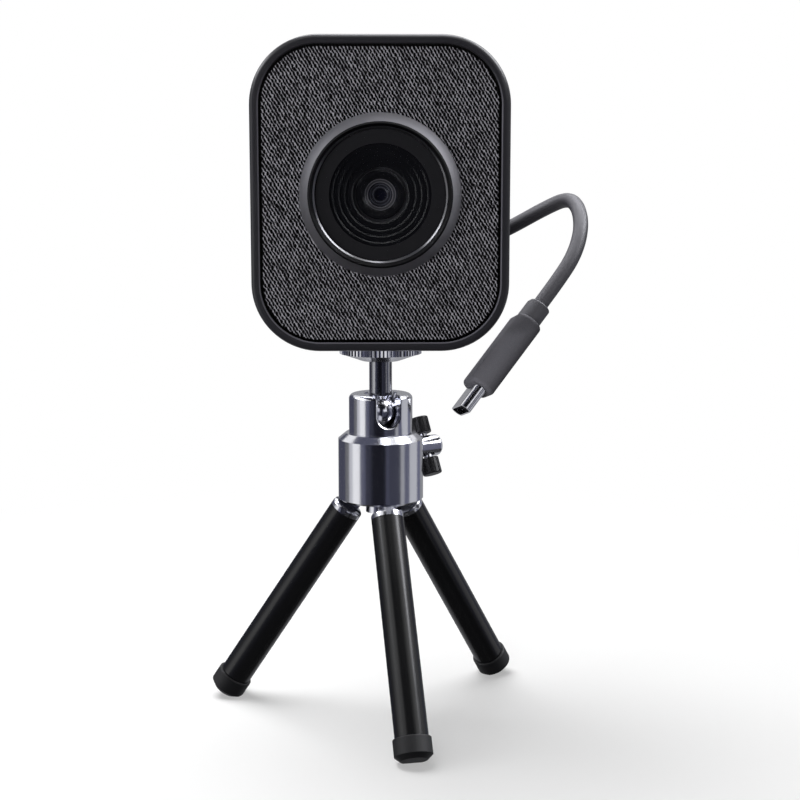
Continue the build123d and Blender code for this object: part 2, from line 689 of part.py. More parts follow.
def make_head_body():
    """A turned body with a ball seat, a slot for the stem to drop into, and a hole for the lock screw."""
    body = post_turned([
        (0, BODY_BOTTOM_Z),
        (BODY_RADIUS - BODY_EDGE, BODY_BOTTOM_Z),
        (BODY_RADIUS, BODY_BOTTOM_Z + BODY_EDGE),
        (BODY_RADIUS, SHOULDER_Z),
        (SHOULDER_TOP_RADIUS, NECK_Z),
        (NECK_RADIUS, NECK_Z),
        (NECK_RADIUS, HEAD_TOP_Z),
        (0, HEAD_TOP_Z),
    ])
    top_edge = body.faces().sort_by(Axis.Z)[-1].edges()
    body = fillet(top_edge, HEAD_TOP_ROUND)
    body -= upright(SPIGOT_RADIUS, BODY_BOTTOM_Z - 1, SOCKET_FLOOR_Z)
    body -= upright(SEAT_RADIUS, SOCKET_FLOOR_Z - 1, BALL_Z)
    body -= Pos(0, 0, BALL_Z) * Sphere(SEAT_RADIUS)
    body -= post_turned([
        (0, HEAD_TOP_Z - MOUTH_DEPTH),
        (MOUTH_THROAT_RADIUS, HEAD_TOP_Z - MOUTH_DEPTH),
        (MOUTH_RADIUS, HEAD_TOP_Z),
        (MOUTH_RADIUS, HEAD_TOP_Z + 1),
        (0, HEAD_TOP_Z + 1),
    ])
    slot_z = SLOT_BOTTOM_Z + SLOT_WIDTH / 2
    slot_height = HEAD_TOP_Z + 1 - slot_z
    slot_length = NECK_RADIUS + 1
    slot = Pos(slot_length / 2, 0, slot_z + slot_height / 2) * Box(slot_length, SLOT_WIDTH, slot_height)
    slot += Pos(0, 0, slot_z) * outward(SLOT_WIDTH / 2, 0, slot_length)
    body -= bearing(SLOT_AZIMUTH) * slot
    body = chamfer(body.edges().filter_by(on_slot_edge), SLOT_CHAMFER)
    lock_hole = Pos(0, 0, LOCK_Z) * outward(LOCK_SHANK_RADIUS + RUNNING_GAP, 0, BODY_RADIUS + 1)
    return body - bearing(LOCK_AZIMUTH) * lock_hole


def make_pressure_cup():
    """The shoe that the lock screw's cone drives up against the ball."""
    cup = upright(CUP_RADIUS, CUP_BOTTOM_Z, CUP_TOP_Z)
    nib = Cone(CUP_NIB_TIP_RADIUS, CUP_NIB_RADIUS, CUP_NIB_HEIGHT)
    cup += Pos(0, 0, CUP_BOTTOM_Z - CUP_NIB_HEIGHT / 2) * nib
    return cup - Pos(0, 0, BALL_Z) * Sphere(BALL_RADIUS + RUNNING_GAP)


def lock_place():
    """The lock screw's own frame: +X out along the screw, the cross bar along +Z."""
    return bearing(LOCK_AZIMUTH) * Pos(0, 0, LOCK_Z) * Rot(-BAR_LEAN, 0, 0)


def make_lock_screw():
    hub = outward(LOCK_HUB_RADIUS, LOCK_HUB_OUT, LOCK_END_OUT)
    hub = fillet(hub.edges().filter_by(GeomType.CIRCLE).sort_by(Axis.X)[-1], LOCK_END_ROUND)
    screw = hub + outward(LOCK_SHANK_RADIUS, LOCK_CONE_OUT, LOCK_HUB_OUT)
    cone = Cone(LOCK_TIP_RADIUS, LOCK_SHANK_RADIUS, LOCK_CONE_OUT - LOCK_TIP_OUT)
    screw += Pos((LOCK_TIP_OUT + LOCK_CONE_OUT) / 2, 0, 0) * Rot(0, 90, 0) * cone
    screw -= Pos(BAR_OUT, 0, 0) * Cylinder(BAR_RADIUS, 2 * BAR_TIP_END)
    return lock_place() * screw


def make_cross_bar():
    return lock_place() * Pos(BAR_OUT, 0, 0) * Cylinder(BAR_RADIUS, 2 * BAR_HALF_LENGTH)


def make_bar_tips():
    """Two ribbed sleeves pushed on the ends of the cross bar."""
    length = BAR_TIP_END - BAR_TIP_START
    sleeve = Pos(0, 0, BAR_TIP_START) * extrude(Circle(BAR_TIP_RADIUS), amount=length)
    sleeve = fillet(sleeve.edges().filter_by(GeomType.CIRCLE), BAR_TIP_ROUND)
    for count in range(BAR_RIB_COUNT):
        groove = Pos(BAR_TIP_RADIUS, 0, BAR_TIP_START + length / 2) * Cylinder(BAR_RIB_DEPTH, length + 1)
        sleeve -= Rot(0, 0, 360 * count / BAR_RIB_COUNT) * groove
    sleeve -= extrude(Circle(BAR_RADIUS), amount=BAR_HALF_LENGTH)
    upper = lock_place() * Pos(BAR_OUT, 0, 0) * sleeve
    lower = lock_place() * Pos(BAR_OUT, 0, 0) * Rot(180, 0, 0) * sleeve
    return Part() + upper + lower


# Leg pieces, each modelled about the pivot with the leg hanging down along -Z and outwards along +X

def leg_place(azimuth):
    return bearing(azimuth) * Pos(PIVOT_RADIUS, 0, PIVOT_Z) * Rot(0, -LEG_SPREAD, 0)


def make_leg_hub():
    """A spigot in the head body with one flat lug for each leg."""
    hub = upright(SPIGOT_RADIUS, BODY_BOTTOM_Z, BODY_BOTTOM_Z + HUB_HEIGHT)
    eye = Pos(PIVOT_RADIUS, PIVOT_Z) * Circle(LUG_RADIUS)
    root = Line((LUG_INNER_RADIUS, BODY_BOTTOM_Z), (LUG_OUTER_RADIUS, BODY_BOTTOM_Z))
    lug_face = make_hull(eye.edges() + root.edges())
    lug_face -= Pos(PIVOT_RADIUS, PIVOT_Z) * Circle(PIN_RADIUS + RUNNING_GAP)
    lug = extrude(Plane.XZ * lug_face, amount=LUG_THICKNESS / 2, both=True)
    hub += Pos(0, 0, BODY_BOTTOM_Z - HUB_HEIGHT / 4) * Cylinder(LUG_INNER_RADIUS, HUB_HEIGHT / 2)
    for azimuth in LEG_AZIMUTHS.values():
        hub += bearing(azimuth) * lug
    return hub


def make_leg_pin():
    return Rot(90, 0, 0) * Cylinder(PIN_RADIUS, PIN_LENGTH)


def make_leg_cap():
    """A slotted end plug: two ears round the lug, on a spigot that fills the top of the tube."""
    ears = upright(LEG_RADIUS, -CAP_BELOW_PIVOT, CAP_ABOVE_PIVOT)
    ears = fillet(ears.faces().sort_by(Axis.Z)[-1].edges(), CAP_EDGE_ROUND)
    bore = LEG_RADIUS - LEG_WALL
    cap = ears + upright(bore - RUNNING_GAP, -CAP_BELOW_PIVOT - CAP_SPIGOT_LENGTH, -CAP_BELOW_PIVOT)
    slot_height = CAP_ABOVE_PIVOT + CAP_SLOT_BELOW + 1
    slot = Box(4 * LEG_RADIUS, CAP_SLOT_WIDTH, slot_height, align=(Align.CENTER, Align.CENTER, Align.MIN))
    cap -= Pos(0, 0, -CAP_SLOT_BELOW) * slot
    return cap - Rot(90, 0, 0) * Cylinder(PIN_RADIUS, 4 * LEG_RADIUS)


def make_leg_tube():
    end = -FOOT_END + FOOT_FLOOR
    tube = upright(LEG_RADIUS, end, -CAP_BELOW_PIVOT)
    return tube - upright(LEG_RADIUS - LEG_WALL, end - 1, -CAP_BELOW_PIVOT + 1)


def make_leg_foot():
    """A rubber cup on the end of the tube, with a tapered end."""
    sleeve_bottom = -FOOT_END + FOOT_CONE_LENGTH
    sleeve_top = sleeve_bottom + FOOT_SLEEVE_LENGTH
    foot = post_turned([
        (0, -FOOT_END),
        (FOOT_END_RADIUS, -FOOT_END),
        (FOOT_RADIUS, sleeve_bottom),
        (FOOT_RADIUS, sleeve_top),
        (0, sleeve_top),
    ])
    foot = fillet(foot.faces().sort_by(Axis.Z)[-1].edges(), FOOT_TOP_ROUND)
    return foot - upright(LEG_RADIUS, -FOOT_END + FOOT_FLOOR, sleeve_top + 1)


def stand_on_desk(foot):
    """The foot with the flat that it stands on, level with the desk."""
    below_desk = Box(200, 200, 20, align=(Align.CENTER, Align.CENTER, Align.MAX))
    return foot - below_desk


# All nodes

def make_nodes():
    sensor_back = SENSOR_BOARD_AHEAD - BOARD_THICKNESS
    nodes = {
        "housing_shell": make_housing_shell(),
        "rear_cover": make_rear_cover(),
        "front_panel": make_front_panel(),
        "front_fabric": make_front_fabric(),
        "lens_bezel": make_lens_bezel(),
        "trim_ring": make_trim_ring(),
        "cover_glass": make_cover_glass(),
        "lens_hood": make_lens_hood(),
        "lens_barrel": make_lens_barrel(),
        "front_lens_element": make_lens_element(
            FRONT_ELEMENT_RADIUS, FRONT_ELEMENT_AHEAD, FRONT_ELEMENT_EDGE, FRONT_ELEMENT_CROWN),
        "rear_lens_element": make_lens_element(
            REAR_ELEMENT_RADIUS, REAR_ELEMENT_AHEAD, REAR_ELEMENT_EDGE, REAR_ELEMENT_CROWN),
        "focus_mount": make_focus_mount(),
        "image_sensor": block(SENSOR_SIZE, SENSOR_BOARD_AHEAD),
        "sensor_board": make_board(SENSOR_BOARD_SIZE, SENSOR_BOARD_AHEAD, SENSOR_POST_X, SENSOR_POST_Z),
        "sensor_board_screws": make_board_screws(sensor_back, 1, SENSOR_POST_X, SENSOR_POST_Z),
        "main_board": make_board(MAIN_BOARD_SIZE, MAIN_BOARD_AHEAD, MAIN_POST_X, MAIN_POST_Z),
        "main_board_screws": make_board_screws(MAIN_BOARD_AHEAD, -1, MAIN_POST_X, MAIN_POST_Z),
        "board_chips": make_board_chips(),
        "ribbon_plugs": make_ribbon_plugs(),
        "ribbon": make_ribbon(),
        "microphones": make_microphones(),
        "tripod_insert": make_tripod_insert(),
        "cable_header": make_cable_header(),
        "inner_lead": make_inner_lead(),
        "cable_gland": make_cable_gland(),
        "cable": make_cable(),
        "plug_collar": make_plug_collar(),
        "plug_grip": make_plug_grip(),
        "plug_shell": make_plug_shell(),
        "plug_insulator": make_plug_insulator(),
        "lock_wheel": make_lock_wheel(),
        "ball_stud": make_ball_stud(),
        "head_body": make_head_body(),
        "pressure_cup": make_pressure_cup(),
        "lock_screw": make_lock_screw(),
        "cross_bar": make_cross_bar(),
        "bar_tips": make_bar_tips(),
        "leg_hub": make_leg_hub(),
    }
    for side, azimuth in LEG_AZIMUTHS.items():
        place = leg_place(azimuth)
        nodes["leg_pin_" + side] = place * make_leg_pin()
        nodes["leg_cap_" + side] = place * make_leg_cap()
        nodes["leg_tube_" + side] = place * make_leg_tube()
        nodes["leg_foot_" + side] = stand_on_desk(place * make_leg_foot())
    return nodes


os.makedirs("parts", exist_ok=True)
for name, solid in make_nodes().items():
    export_step(solid, "parts/" + name + ".step")
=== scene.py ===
import bpy
import json
import math
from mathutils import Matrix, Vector


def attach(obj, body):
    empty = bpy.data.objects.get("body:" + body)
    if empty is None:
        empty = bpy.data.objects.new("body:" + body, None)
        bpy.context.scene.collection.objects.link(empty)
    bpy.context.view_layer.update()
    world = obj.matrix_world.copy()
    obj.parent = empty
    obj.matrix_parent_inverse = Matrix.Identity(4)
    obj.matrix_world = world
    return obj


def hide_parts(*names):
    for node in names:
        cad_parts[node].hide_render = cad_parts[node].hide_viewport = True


# The looks of a small webcam on a folding desk tripod, in metres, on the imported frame.
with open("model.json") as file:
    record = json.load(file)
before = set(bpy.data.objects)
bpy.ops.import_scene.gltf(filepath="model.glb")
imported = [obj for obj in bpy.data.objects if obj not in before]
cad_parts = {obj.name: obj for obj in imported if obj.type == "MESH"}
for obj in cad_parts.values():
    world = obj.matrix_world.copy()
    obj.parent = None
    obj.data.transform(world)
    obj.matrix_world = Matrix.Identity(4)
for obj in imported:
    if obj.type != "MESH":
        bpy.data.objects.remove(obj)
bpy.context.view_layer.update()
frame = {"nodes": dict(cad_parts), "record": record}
NODES = frame["nodes"]
RECORD = frame["record"]
MM = 0.001
BLACK = (0.0, 0.0, 0.0)

# Camera, from the photograph's perspective
CAMERA_PLACE = (0.0, -0.300, 0.10686)
CAMERA_PITCH = 8.317
CAMERA_YAW = 0.7323
CAMERA_NEAR = 0.01
FOCAL_PIXELS = 1529.18
IMAGE_PIXELS = 800
SENSOR_MM = 36.0

# Floor: where it runs out into white, away from the tripod's axis, and its share of white before that
FLOOR_REACH = 3.0
FLOOR_COLOUR = (0.92, 0.92, 0.92)
FLOOR_FADE = (0.10, 0.22)
FLOOR_WHITE = 0.35

# Lamps, which light dull surfaces and show in no reflection: name, place, width and height, watts
SKY_LIGHT = 0.09
LAMP_AIM = (0, 0, 0.08)
LAMPS = (
    ("front_lamp", (-0.20, -0.84, 0.17), (0.3, 0.4), 3.6),
    ("low_lamp", (-0.58, -0.69, 0.035), (0.6, 0.05), 4.4),
    ("top_lamp", (-0.20, 0.25, 0.90), (0.7, 0.7), 11),
)

# Cards, which only reflections and glass see, on a sphere round the object.
# Each has a name, a turn from the camera towards the right, a rise, a brightness and a tint.
CARD_DISTANCE = 1.6
CARD_CENTRE_Z = 0.06
CARD_STEPS = 16
COOL = (1.0, 1.04, 1.5)
NEUTRAL = (1.0, 1.01, 1.06)
LEVEL = (-28, 26)
LOW = (-60, -28)
OVERHEAD = (79, 89.5)
CARDS = (
    ("front", (-25, 13), LEVEL, 0.012, COOL),
    ("front_strip", (13, 23), LEVEL, 0.070, COOL),
    ("near_left", (-42, -25), LEVEL, 0.040, COOL),
    ("front_left", (-58, -42), LEVEL, 0.110, COOL),
    ("open_left", (-95, -82), LEVEL, 0.60, NEUTRAL),
    ("side_left", (-112, -95), LEVEL, 0.17, NEUTRAL),
    ("back_left", (-160, -112), LEVEL, 0.07, COOL),
    ("front_right", (23, 55), (-28, 10), 0.05, COOL),
    ("plug_glint", (23, 55), (10, 26), 1.0, NEUTRAL),
    ("slit_right", (55, 67), LEVEL, 0.40, NEUTRAL),
    ("near_right", (67, 84), LEVEL, 0.12, COOL),
    ("side_right", (84, 116), LEVEL, 0.55, NEUTRAL),
    ("far_right", (116, 134), LEVEL, 0.15, COOL),
    ("back_right", (134, 160), LEVEL, 0.30, NEUTRAL),
    ("back", (160, 200), LEVEL, 0.32, NEUTRAL),
    ("low_front", (-75, 75), LOW, 0.03, NEUTRAL),
    ("low_right", (75, 120), LOW, 0.05, NEUTRAL),
    ("low_back", (120, 240), LOW, 0.40, NEUTRAL),
    ("low_left", (240, 285), LOW, 0.05, NEUTRAL),
    ("under", (-180, 180), (-89, -60), 0.03, NEUTRAL),
    ("high_front", (-42, 42), (26, 54), 0.01, COOL),
    ("key_left", (-118, -72), (26, 44), 6.0, NEUTRAL),
    ("key_right", (75, 125), (28, 62), 8.0, NEUTRAL),
    ("high_left", (-150, -60), (48, 79), 0.09, COOL),
    ("high_back", (130, 210), (45, 79), 5.0, NEUTRAL),
    ("overhead_left", (-180, 0), OVERHEAD, 0.08, COOL),
    ("overhead_right", (0, 180), OVERHEAD, 6.0, NEUTRAL),
)

# Fabric on the front panel: its outline, hole and face as in the part's source, and the rings of its mesh
FABRIC_SIZE = (44.3 * MM, 54.3 * MM)
FABRIC_CORNER = 10.85 * MM
FABRIC_HOLE = 13.5 * MM
FABRIC_AHEAD = 15.68 * MM
FABRIC_THICKNESS = 0.35 * MM
FABRIC_ROLL = 0.55 * MM
FABRIC_CROWN = 0.14 * MM
CROWN_FROM_RIM = 2.5 * MM
CROWN_FROM_LENS = 4.0 * MM
FABRIC_STEPS = 288
WIDE_RINGS = 36
WIDE_RINGS_END = 0.96
FINE_RINGS = 10
FINE_RINGS_START = 0.965

# Weave of the fabric: threads per millimetre along X and Z, counted across and along the rows
THREADS_ACROSS = (1.454, 0.930)
THREADS_ALONG = (1.454, -0.574)
THREAD_WANDER = (0.9 * MM, 0.6 * MM)
THREAD_TONES = (0.72, 1.0)
THREAD_RELIEF = 0.10 * MM
LINK_DEPTH = 0.35
FIBRE_SIZE = 0.22 * MM
FIBRE_TONES = (0.50, 1.40)
FABRIC_COLOUR = (0.05, 0.05, 0.055)
FABRIC_TONES = (
    (0.335, BLACK),
    (0.50, (0.026, 0.0255, 0.0295)),
    (0.72, (0.30, 0.295, 0.326)),
)
# Painted shade along the edge tucked behind the rim: the depths inside the outline where it is darkest and
# where it ends
FABRIC_TUCK_SHADE = (0.10 * MM, 0.54 * MM)

# Rim of the housing: a painted highlight along its inner edge, measured out from the fabric's outline, that
# fades towards the top, where the edge faces down
HOUSING_COLOUR = (0.016, 0.0156, 0.0185)
RIM_HIGHLIGHT_OFFSET = 0.24 * MM
RIM_HIGHLIGHT_REACH = 0.20 * MM
RIM_HIGHLIGHT_Y = -15.8 * MM
RIM_HIGHLIGHT_FADE = (128.0 * MM, 118.0 * MM)
RIM_HIGHLIGHT_GAIN = 6.0

# Lens front, by the distance from the lens's axis
LENS_Z = 103.5 * MM
BEZEL_LIP = 13.25 * MM
BEZEL_LIP_TONE = 0.08
BEZEL_COLOUR = (0.42, 0.415, 0.435)
HOOD_MOUTH = 9.35 * MM
HOOD_COLOUR = (0.003, 0.003, 0.0035)
HOOD_RING_COLOUR = (0.120, 0.117, 0.130)
HOOD_ROUGHNESS = (0.24, 0.6)
HOOD_GRAIN = 0.15 * MM
HOOD_RELIEF = 0.0002 * MM
FLANGE_TONE = 0.085
# Iris: turned rings painted paler as painted reflections of the lens's rings, their reach, pitch and tones
IRIS_REACH = 2.9 * MM
IRIS_RING = 0.55 * MM
IRIS_SHEEN_TONES = (0.15, 0.65)

# Circuit boards: solder mask over tracks
BOARD_COLOUR = (0.02, 0.12, 0.06)
TRACK_SIZE = 9 * MM
TRACK_OFFSET = 0.37
TRACK_RELIEF = 0.03 * MM
TRACK_COLOURS = (
    ("Color1", (0.012, 0.085, 0.04)),
    ("Color2", (0.015, 0.10, 0.05)),
    ("Mortar", (0.03, 0.16, 0.08)),
)

# Turned metal of the tripod's head, with fine streaks, and painted shade on the stem above the ball, under
# the webcam
CHROME_COLOUR = (0.75, 0.755, 0.80)
STREAK_SIZE = 0.25 * MM
STREAK_STRETCH = (1.0, 1.0, 0.06)
STREAK_ROUGHNESS = (0.10, 0.24)
STREAK_RELIEF = 0.0006 * MM
STEM_SHADE_COLOUR = (0.36, 0.362, 0.385)
STEM_FOOT = 64.1 * MM
STEM_REACH = 2.6 * MM

# Cable, on the route in the part's source
CABLE_DIAMETER = 3.2 * MM
CABLE_ROUNDING = 8
CABLE_ORDER = 3
CABLE_STEPS = 12
CABLE_ROUTE_MM = [
    (0.0, 24.5, 86.0),
    (0.0, 31.0, 86.0),
    (4.0, 37.5, 86.5),
    (11.5, 42.0, 88.0),
    (20.5, 44.0, 91.5),
    (29.0, 43.5, 95.5),
    (36.5, 41.0, 99.9),
    (41.0, 36.6, 102.2),
    (42.6, 30.5, 100.4),
    (42.6, 24.8, 96.0),
    (40.7, 20.8, 90.7),
    (37.1, 18.0, 85.6),
    (32.8, 15.6, 80.3),
]

# Grain: the noise values at its two ends, its tones, and its features in one patch of gloss
GRAIN_ENDS = (0.3, 0.7)
GRAIN_TONES = (0.75, 1.25)
GRAINS_IN_PATCH = 40

# Plain surfaces: slot, colour, roughness, size and depth of the grain in millimetres, and what else differs
PLAIN_SURFACES = (
    ("trim_metal", (0.27, 0.27, 0.28), 0.28, 0.20, 0.001, dict(metallic=1.0, contrast=0.03)),
    ("inner_black", (0.018, 0.018, 0.02), 0.60, 0.15, 0.008, {}),
    ("sensor_face", (0.05, 0.045, 0.09), 0.15, 0.30, 0.002, {}),
    ("ribbon_amber", (0.36, 0.20, 0.06), 0.40, 0.40, 0.004, {}),
    ("steel", (0.55, 0.55, 0.57), 0.30, 0.15, 0.003, dict(metallic=1.0, contrast=0.06)),
    ("brass", (0.72, 0.53, 0.22), 0.32, 0.15, 0.003, dict(metallic=1.0, contrast=0.06)),
    ("cable_jacket", (0.098, 0.096, 0.109), 0.46, 0.10, 0.006, {}),
    ("plug_moulding", (0.118, 0.116, 0.131), 0.55, 0.12, 0.008, dict(specular=0.12)),
    ("plug_metal", (0.74, 0.74, 0.76), 0.18, 0.12, 0.0004, dict(metallic=1.0, contrast=0.05)),
    ("leg_paint", (0.004, 0.004, 0.0045), 0.23, 0.25, 0.004, dict(rough_spread=0.06)),
    ("foot_rubber", (0.005, 0.005, 0.0055), 0.60, 0.14, 0.012, {}),
    ("tip_plastic", (0.007, 0.007, 0.0075), 0.42, 0.14, 0.006, {}),
)

# Glass with a trace of dust: slot, tint, index of refraction
DUST_SIZE = 0.8 * MM
DUST_ROUGHNESS = (0.0, 0.03)
GLASSES = (
    ("cover_glass", (0.97, 0.98, 0.99), 1.45),
    ("lens_glass", (0.60, 0.62, 0.70), 1.35),
)
CLEAR_NODES = ("cover_glass", "front_lens_element", "rear_lens_element")

# The chrome mirrors the studio and only these pieces of the webcam above it, as in the photograph
MIRRORED_NODES = (
    "lens_bezel", "trim_ring", "cover_glass", "lens_hood", "plug_grip", "plug_shell", "plug_insulator",
)


# Shader building blocks

class Shader:
    """One procedural material: a Principled surface and the nodes that feed it."""

    def __init__(self, name, colour, roughness, metallic=0.0, specular=0.5):
        self.material = bpy.data.materials.new(name)
        self.material.use_nodes = True
        self.tree = self.material.node_tree
        self.surface = self.tree.nodes["Principled BSDF"]
        self.set("Base Color", (*colour, 1.0))
        self.set("Roughness", roughness)
        self.set("Metallic", metallic)
        self.set("Specular IOR Level", specular)

    def set(self, socket, value):
        self.surface.inputs[socket].default_value = value

    def feed(self, socket, source):
        self.link(source, self.surface.inputs[socket])

    def node(self, kind, **settings):
        made = self.tree.nodes.new(kind)
        for key, value in settings.items():
            setattr(made, key, value)
        return made

    def link(self, source, target):
        self.tree.links.new(source, target)

    def math(self, operation, *values):
        made = self.node("ShaderNodeMath", operation=operation)
        for socket, value in zip(made.inputs, values):
            if isinstance(value, (int, float)):
                socket.default_value = value
            else:
                self.link(value, socket)
        return made.outputs[0]

    def hypot(self, first, second):
        """The distance that two steps at right angles make."""
        squares = [self.math("POWER", step, 2.0) for step in (first, second)]
        return self.math("SQRT", self.math("ADD", *squares))

    def place(self):
        """The point on the piece at rest, in metres."""
        return self.node("ShaderNodeTexCoord").outputs["Object"]

    def axes(self, point=None):
        """X, Y and Z of a point, which is the one on the piece at rest unless it is given."""
        split = self.node("ShaderNodeSeparateXYZ")
        self.link(self.place() if point is None else point, split.inputs[0])
        return [split.outputs[axis] for axis in "XYZ"]

    def wander(self, size, reach):
        """The point on the piece, moved about a little, so that a regular pattern looks made by hand."""
        source = self.place()
        drift = self.node("ShaderNodeTexNoise")
        drift.inputs["Scale"].default_value = 1.0 / size
        self.link(source, drift.inputs["Vector"])
        moved = self.node("ShaderNodeVectorMath", operation="MULTIPLY_ADD")
        moved.inputs[1].default_value = (reach, reach, reach)
        self.link(drift.outputs["Color"], moved.inputs[0])
        self.link(source, moved.inputs[2])
        return moved.outputs[0]

    def mapped(self, setting, values):
        """The point on the piece, with one setting of a mapping applied to it."""
        made = self.node("ShaderNodeMapping")
        made.inputs[setting].default_value = values
        self.link(self.place(), made.inputs["Vector"])
        return made.outputs["Vector"]

    def noise(self, size, detail=2.0, stretch=None):
        """Noise whose features are about the given size in metres."""
        made = self.node("ShaderNodeTexNoise")
        made.inputs["Scale"].default_value = 1.0 / size
        made.inputs["Detail"].default_value = detail
        self.link(self.mapped("Scale", stretch) if stretch else self.place(), made.inputs["Vector"])
        return made.outputs["Fac"]

    def ramp(self, source, *stops):
        """Colours along a value, as (position, colour)."""
        made = self.node("ShaderNodeValToRGB")
        elements = made.color_ramp.elements
        while len(elements) < len(stops):
            elements.new(0.5)
        for element, (position, colour) in zip(elements, stops):
            element.position = position
            element.color = (*colour, 1.0)
        self.link(source, made.inputs["Fac"])
        return made.outputs["Color"]

    def spread(self, source, low, high):
        """A 0 to 1 value moved to a range."""
        made = self.node("ShaderNodeMapRange")
        made.inputs["To Min"].default_value = low
        made.inputs["To Max"].default_value = high
        self.link(source, made.inputs["Value"])
        return made.outputs["Result"]

    def between(self, source, start, end, low=0.0):
        """A smooth step from the low value at the start of a range to 1 at its end."""
        made = self.node("ShaderNodeMapRange", interpolation_type="SMOOTHSTEP")
        made.inputs["From Min"].default_value = start
        made.inputs["From Max"].default_value = end
        made.inputs["To Min"].default_value = low
        self.link(source, made.inputs["Value"])
        return made.outputs["Result"]

    def bump(self, height, depth):
        """Relief of a depth in metres."""
        made = self.node("ShaderNodeBump")
        made.inputs["Strength"].default_value = 1.0
        made.inputs["Distance"].default_value = depth
        self.link(height, made.inputs["Height"])
        self.feed("Normal", made.outputs["Normal"])


def scaled(colour, gain):
    return tuple(channel * gain for channel in colour)


def grained(name, colour, roughness, grain, relief, metallic=0.0, specular=0.5, rough_spread=0.08):
    """A surface with a shallow relief and patches of more and less gloss. Also gives the relief's noise."""
    shader = Shader(name, colour, roughness, metallic, specular)
    fine = shader.noise(grain)
    broad = shader.noise(grain * GRAINS_IN_PATCH, detail=4.0)
    shader.feed("Roughness", shader.spread(broad, roughness - rough_spread, roughness + rough_spread))
    shader.bump(fine, relief)
    return shader, fine


def speckled(name, colour, roughness, grain, relief, contrast=0.15, **more):
    """A grained surface with small changes of colour."""
    shader, fine = grained(name, colour, roughness, grain, relief, **more)
    shades = scaled(colour, 1.0 - contrast), scaled(colour, 1.0 + contrast)
    shader.feed("Base Color", shader.ramp(fine, *zip(GRAIN_ENDS, shades)))
    return shader


def from_lens_axis(shader):
    """Distance from the lens's axis, in metres."""
    x, _, z = shader.axes()
    return shader.hypot(x, shader.math("SUBTRACT", z, LENS_Z))


def past_fabric(shader):
    """Distance out past the fabric's outline, seen from the front, in metres: negative on the fabric."""
    x, _, z = shader.axes()
    rise = shader.math("SUBTRACT", z, LENS_Z)
    past = [shader.math("SUBTRACT", shader.math("ABSOLUTE", value), size / 2 - FABRIC_CORNER)
            for value, size in zip((x, rise), FABRIC_SIZE)]
    beyond = shader.hypot(*[shader.math("MAXIMUM", value, 0.0) for value in past])
    within = shader.math("MINIMUM", shader.math("MAXIMUM", *past), 0.0)
    return shader.math("SUBTRACT", shader.math("ADD", beyond, within), FABRIC_CORNER)


# Materials, one for each slot of the record

def housing_plastic():
    """Fine-grained plastic, with a painted highlight along the rim's inner edge, except under its top where
    the edge faces down.
    """
    shader, fine = grained("housing_plastic", HOUSING_COLOUR, roughness=0.33, grain=0.12 * MM,
                           relief=0.008 * MM, specular=0.6)
    _, y, z = shader.axes()
    # Painted highlight: the rim's inner rounding is painted paler on the front, fading out towards the top
    off_edge = shader.math("ABSOLUTE", shader.math("SUBTRACT", past_fabric(shader), RIM_HIGHLIGHT_OFFSET))
    edge = shader.between(off_edge, RIM_HIGHLIGHT_REACH, 0.0)
    edge = shader.math("MULTIPLY", edge, shader.math("LESS_THAN", y, RIM_HIGHLIGHT_Y))
    edge = shader.math("MULTIPLY", edge, shader.between(z, *RIM_HIGHLIGHT_FADE))
    grain = shader.math("MULTIPLY", shader.spread(fine, *GRAIN_TONES), 1.0 / RIM_HIGHLIGHT_GAIN)
    painted_highlight_colour = scaled(HOUSING_COLOUR, RIM_HIGHLIGHT_GAIN)
    shader.feed("Base Color", shader.ramp(shader.math("ADD", grain, edge), (0.0, BLACK), (1.0, painted_highlight_colour)))
    return shader


def fabric():
    """Heathered mesh: light threads that lean to the left, linked across, round dark pits, with painted shade
    along the edge tucked behind the rim.
    """
    shader = Shader("fabric", FABRIC_COLOUR, roughness=0.9, specular=0.08)
    x, _, z = shader.axes(shader.wander(*THREAD_WANDER))
    across, along = [
        shader.math("ADD", shader.math("MULTIPLY", x, count_x / MM), shader.math("MULTIPLY", z, count_z / MM))
        for count_x, count_z in (THREADS_ACROSS, THREADS_ALONG)]
    thread = shader.node("ShaderNodeCombineXYZ")
    shader.link(shader.math("ROUND", across), thread.inputs["X"])
    shader.link(shader.math("FLOOR", along), thread.inputs["Y"])
    tone = shader.node("ShaderNodeTexWhiteNoise", noise_dimensions="2D")
    shader.link(thread.outputs[0], tone.inputs["Vector"])
    side, end = [shader.math("SINE", shader.math("MULTIPLY", shader.math("FRACT", count), math.pi))
                 for count in (across, along)]
    pit = shader.math("MULTIPLY", side, shader.spread(end, LINK_DEPTH, 1.0))
    raised = shader.math("SUBTRACT", 1.0, pit)
    fibres = shader.spread(shader.noise(FIBRE_SIZE, detail=1.0), *FIBRE_TONES)
    heather = shader.math("MULTIPLY", shader.spread(tone.outputs["Value"], *THREAD_TONES), fibres)
    # Painted shade: the cloth is painted darker along its edge, where the gap behind the rim shades it
    painted_tuck_shade = shader.between(past_fabric(shader), *[-depth for depth in FABRIC_TUCK_SHADE])
    mixed = shader.math("MULTIPLY", shader.math("MULTIPLY", raised, heather), painted_tuck_shade)
    shader.feed("Base Color", shader.ramp(mixed, *FABRIC_TONES))
    shader.bump(raised, THREAD_RELIEF)
    return shader


def bezel_coat():
    """Satin metal coat outside, and a black lip inside."""
    shader, fine = grained("bezel_coat", BEZEL_COLOUR, roughness=0.52, grain=0.10 * MM,
                           relief=0.006 * MM, metallic=1.0)
    outside = shader.math("GREATER_THAN", from_lens_axis(shader), BEZEL_LIP)
    coat = shader.spread(outside, BEZEL_LIP_TONE, 1.0)
    tone = shader.math("MULTIPLY", shader.spread(fine, *GRAIN_TONES), coat)
    shader.feed("Base Color", shader.ramp(tone, (0.0, BLACK), (1.0, BEZEL_COLOUR)))
    return shader


